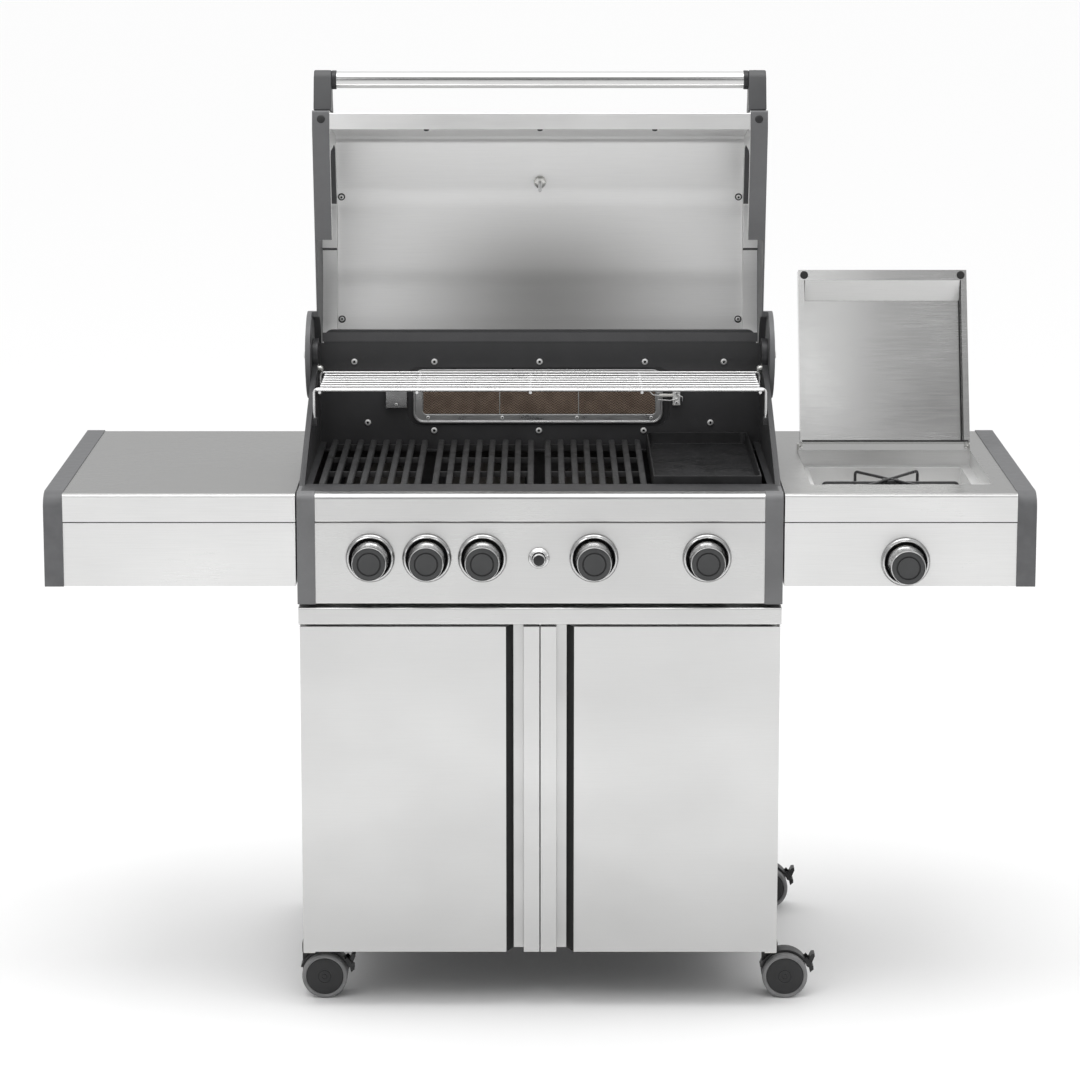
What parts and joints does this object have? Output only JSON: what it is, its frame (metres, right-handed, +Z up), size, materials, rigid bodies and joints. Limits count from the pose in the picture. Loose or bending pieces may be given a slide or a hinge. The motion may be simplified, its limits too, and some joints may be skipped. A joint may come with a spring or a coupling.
{
  "type": "gas barbecue grill",
  "caption": "Free-standing stainless gas barbecue on swivel casters with a hinged lid, a two-door cabinet, control knobs, side tables and a lidded side burner.",
  "frame": {"origin": "centre of the bounding box at floor level, with the main lid and the side-burner lid open", "axes": "+X to the right seen from the front, +Y to the back, +Z up"},
  "size_m": [1.592, 0.6664, 1.5049],
  "materials": {
    "stainless": "satin",
    "stainless_door": "satin",
    "stainless_inner": "satin",
    "grey_paint": "satin",
    "grey_cast": "satin",
    "graphite_enamel": "gloss",
    "cast_iron": "matte",
    "chrome": "polished",
    "knob_plastic": "satin",
    "black_plastic": "matte",
    "caster_tread": "matte",
    "burner_tile": "matte",
    "brass": "satin",
    "gauge": "polished"
  },
  "bodies": {
    "cart": {"cabinet_shell": "stainless", "cabinet_floor": "grey_paint", "cabinet_rail": "stainless", "body_sides": "grey_paint", "front_shelf": "stainless", "control_panel": "stainless", "firebox": "graphite_enamel", "flame_tamers": "stainless_inner", "gas_burners": "stainless_inner", "rear_burner_frame": "stainless", "rear_burner_tiles": "burner_tile", "gas_rail": "brass", "knob_bezels": "chrome", "table_tops": "stainless", "table_fascias": "stainless", "end_caps": "grey_paint", "side_burner_pan": "stainless_inner", "hinge_pins": "stainless_inner", "wall_screws": "chrome"},
    "hood": {"hood_outer_skin": "stainless", "hood_inner_skin": "stainless_inner", "hood_castings": "grey_cast", "handle_arms": "grey_cast", "hood_thermometer": "gauge", "handle_tube": "stainless"},
    "side_lid": {"side_lid": "stainless"},
    "door_left": {"door_left": "stainless_door"},
    "door_right": {"door_right": "stainless_door"},
    "cooking_grill_left": {"cooking_grill_left": "cast_iron"},
    "cooking_grill_middle": {"cooking_grill_middle": "cast_iron"},
    "cooking_grill_right": {"cooking_grill_right": "cast_iron"},
    "hotplate": {"hotplate": "cast_iron"},
    "warming_rack": {"warming_rack": "chrome"},
    "trivet": {"trivet": "chrome"},
    "drip_tray": {"drip_tray": "stainless_inner"},
    "igniter_button": {"igniter_button": "knob_plastic"},
    "stem_1": {"valve_stem_1": "brass"},
    "knob_1": {"knob_1": "knob_plastic"},
    "stem_2": {"valve_stem_2": "brass"},
    "knob_2": {"knob_2": "knob_plastic"},
    "stem_3": {"valve_stem_3": "brass"},
    "knob_3": {"knob_3": "knob_plastic"},
    "stem_4": {"valve_stem_4": "brass"},
    "knob_4": {"knob_4": "knob_plastic"},
    "stem_5": {"valve_stem_5": "brass"},
    "knob_5": {"knob_5": "knob_plastic"},
    "stem_side": {"valve_stem_side": "brass"},
    "knob_side": {"knob_side": "knob_plastic"},
    "caster_fork_front_left": {"caster_housing_front_left": "black_plastic"},
    "caster_wheels_front_left": {"caster_wheels_front_left": "caster_tread"},
    "caster_brake_front_left": {"caster_brake_front_left": "black_plastic"},
    "caster_fork_front_right": {"caster_housing_front_right": "black_plastic"},
    "caster_wheels_front_right": {"caster_wheels_front_right": "caster_tread"},
    "caster_brake_front_right": {"caster_brake_front_right": "black_plastic"},
    "caster_fork_rear_left": {"caster_housing_rear_left": "black_plastic"},
    "caster_wheels_rear_left": {"caster_wheels_rear_left": "caster_tread"},
    "caster_brake_rear_left": {"caster_brake_rear_left": "black_plastic"},
    "caster_fork_rear_right": {"caster_housing_rear_right": "black_plastic"},
    "caster_wheels_rear_right": {"caster_wheels_rear_right": "caster_tread"},
    "caster_brake_rear_right": {"caster_brake_rear_right": "black_plastic"}
  },
  "joints": [
    {"name": "hood_hinge", "type": "hinge", "parent": "cart", "child": "hood", "pos_m": [0, 0.1644, 1.013], "axis": [-1, 0, 0], "range_deg": [-100, 0]},
    {"name": "side_lid_hinge", "type": "hinge", "parent": "cart", "child": "side_lid", "pos_m": [0.5865, 0.0964, 0.865], "axis": [-1, 0, 0], "range_deg": [-109, 0]},
    {"name": "door_left_hinge", "type": "hinge", "parent": "cart", "child": "door_left", "pos_m": [-0.379, -0.2716, 0.3685], "axis": [0, 0, -1], "range_deg": [0, 110]},
    {"name": "door_right_hinge", "type": "hinge", "parent": "cart", "child": "door_right", "pos_m": [0.379, -0.2716, 0.3685], "axis": [0, 0, 1], "range_deg": [0, 110]},
    {"name": "knob_1_turn", "type": "hinge", "parent": "cart", "child": "stem_1", "pos_m": [-0.2725, -0.2656, 0.754], "axis": [0, -1, 0], "range_deg": [0, 180]},
    {"name": "knob_1_push", "type": "slide", "parent": "stem_1", "child": "knob_1", "axis": [0, 1, 0], "range_m": [0, 0.004], "stiffness_N_per_m": 600, "springref_m": -0.002},
    {"name": "knob_2_turn", "type": "hinge", "parent": "cart", "child": "stem_2", "pos_m": [-0.1815, -0.2656, 0.754], "axis": [0, -1, 0], "range_deg": [0, 180]},
    {"name": "knob_2_push", "type": "slide", "parent": "stem_2", "child": "knob_2", "axis": [0, 1, 0], "range_m": [0, 0.004], "stiffness_N_per_m": 600, "springref_m": -0.002},
    {"name": "knob_3_turn", "type": "hinge", "parent": "cart", "child": "stem_3", "pos_m": [-0.0923, -0.2656, 0.754], "axis": [0, -1, 0], "range_deg": [0, 180]},
    {"name": "knob_3_push", "type": "slide", "parent": "stem_3", "child": "knob_3", "axis": [0, 1, 0], "range_m": [0, 0.004], "stiffness_N_per_m": 600, "springref_m": -0.002},
    {"name": "knob_4_turn", "type": "hinge", "parent": "cart", "child": "stem_4", "pos_m": [0.0866, -0.2656, 0.754], "axis": [0, -1, 0], "range_deg": [0, 180]},
    {"name": "knob_4_push", "type": "slide", "parent": "stem_4", "child": "knob_4", "axis": [0, 1, 0], "range_m": [0, 0.004], "stiffness_N_per_m": 600, "springref_m": -0.002},
    {"name": "knob_5_turn", "type": "hinge", "parent": "cart", "child": "stem_5", "pos_m": [0.2681, -0.2656, 0.754], "axis": [0, -1, 0], "range_deg": [0, 180]},
    {"name": "knob_5_push", "type": "slide", "parent": "stem_5", "child": "knob_5", "axis": [0, 1, 0], "range_m": [0, 0.004], "stiffness_N_per_m": 600, "springref_m": -0.002},
    {"name": "knob_side_turn", "type": "hinge", "parent": "cart", "child": "stem_side", "pos_m": [0.5868, -0.2656, 0.748], "axis": [0, -1, 0], "range_deg": [0, 180]},
    {"name": "knob_side_push", "type": "slide", "parent": "stem_side", "child": "knob_side", "axis": [0, 1, 0], "range_m": [0, 0.004], "stiffness_N_per_m": 600, "springref_m": -0.002},
    {"name": "igniter_push", "type": "slide", "parent": "cart", "child": "igniter_button", "axis": [0, 1, 0], "range_m": [0, 0.005], "stiffness_N_per_m": 500, "springref_m": -0.002},
    {"name": "drip_tray_slide", "type": "slide", "parent": "cart", "child": "drip_tray", "axis": [0, 1, 0], "range_m": [0, 0.4]},
    {"name": "cooking_grill_left_lift", "type": "slide", "parent": "cart", "child": "cooking_grill_left", "axis": [0, 0, 1], "range_m": [0, 0.04]},
    {"name": "cooking_grill_middle_lift", "type": "slide", "parent": "cart", "child": "cooking_grill_middle", "axis": [0, 0, 1], "range_m": [0, 0.04]},
    {"name": "cooking_grill_right_lift", "type": "slide", "parent": "cart", "child": "cooking_grill_right", "axis": [0, 0, 1], "range_m": [0, 0.04]},
    {"name": "hotplate_lift", "type": "slide", "parent": "cart", "child": "hotplate", "axis": [0, 0, 1], "range_m": [0, 0.04]},
    {"name": "warming_rack_lift", "type": "slide", "parent": "cart", "child": "warming_rack", "axis": [0, 0, 1], "range_m": [0, 0.05]},
    {"name": "trivet_lift", "type": "slide", "parent": "cart", "child": "trivet", "axis": [0, 0, 1], "range_m": [0, 0.03]},
    {"name": "caster_swivel_front_left", "type": "hinge", "parent": "cart", "child": "caster_fork_front_left", "pos_m": [-0.38, -0.2156, 0.08], "axis": [0, 0, 1], "continuous": true},
    {"name": "caster_roll_front_left", "type": "hinge", "parent": "caster_fork_front_left", "child": "caster_wheels_front_left", "pos_m": [-0.3555, -0.2156, 0.0375], "axis": [0, 1, 0], "continuous": true},
    {"name": "caster_brake_press_front_left", "type": "hinge", "parent": "caster_fork_front_left", "child": "caster_brake_front_left", "pos_m": [-0.315, -0.2156, 0.054], "axis": [0, 1, 0], "range_deg": [0, 15]},
    {"name": "caster_swivel_front_right", "type": "hinge", "parent": "cart", "child": "caster_fork_front_right", "pos_m": [0.38, -0.2156, 0.08], "axis": [0, 0, 1], "continuous": true},
    {"name": "caster_roll_front_right", "type": "hinge", "parent": "caster_fork_front_right", "child": "caster_wheels_front_right", "pos_m": [0.4045, -0.2156, 0.0375], "axis": [0, 1, 0], "continuous": true},
    {"name": "caster_brake_press_front_right", "type": "hinge", "parent": "caster_fork_front_right", "child": "caster_brake_front_right", "pos_m": [0.445, -0.2156, 0.054], "axis": [0, 1, 0], "range_deg": [0, 15]},
    {"name": "caster_swivel_rear_left", "type": "hinge", "parent": "cart", "child": "caster_fork_rear_left", "pos_m": [-0.38, 0.2514, 0.08], "axis": [0, 0, 1], "continuous": true},
    {"name": "caster_roll_rear_left", "type": "hinge", "parent": "caster_fork_rear_left", "child": "caster_wheels_rear_left", "pos_m": [-0.3555, 0.2514, 0.0375], "axis": [0, 1, 0], "continuous": true},
    {"name": "caster_brake_press_rear_left", "type": "hinge", "parent": "caster_fork_rear_left", "child": "caster_brake_rear_left", "pos_m": [-0.315, 0.2514, 0.054], "axis": [0, 1, 0], "range_deg": [0, 15]},
    {"name": "caster_swivel_rear_right", "type": "hinge", "parent": "cart", "child": "caster_fork_rear_right", "pos_m": [0.38, 0.2514, 0.08], "axis": [0, 0, 1], "continuous": true},
    {"name": "caster_roll_rear_right", "type": "hinge", "parent": "caster_fork_rear_right", "child": "caster_wheels_rear_right", "pos_m": [0.4045, 0.2514, 0.0375], "axis": [0, 1, 0], "continuous": true},
    {"name": "caster_brake_press_rear_right", "type": "hinge", "parent": "caster_fork_rear_right", "child": "caster_brake_rear_right", "pos_m": [0.445, 0.2514, 0.054], "axis": [0, 1, 0], "range_deg": [0, 15]}
  ]
}
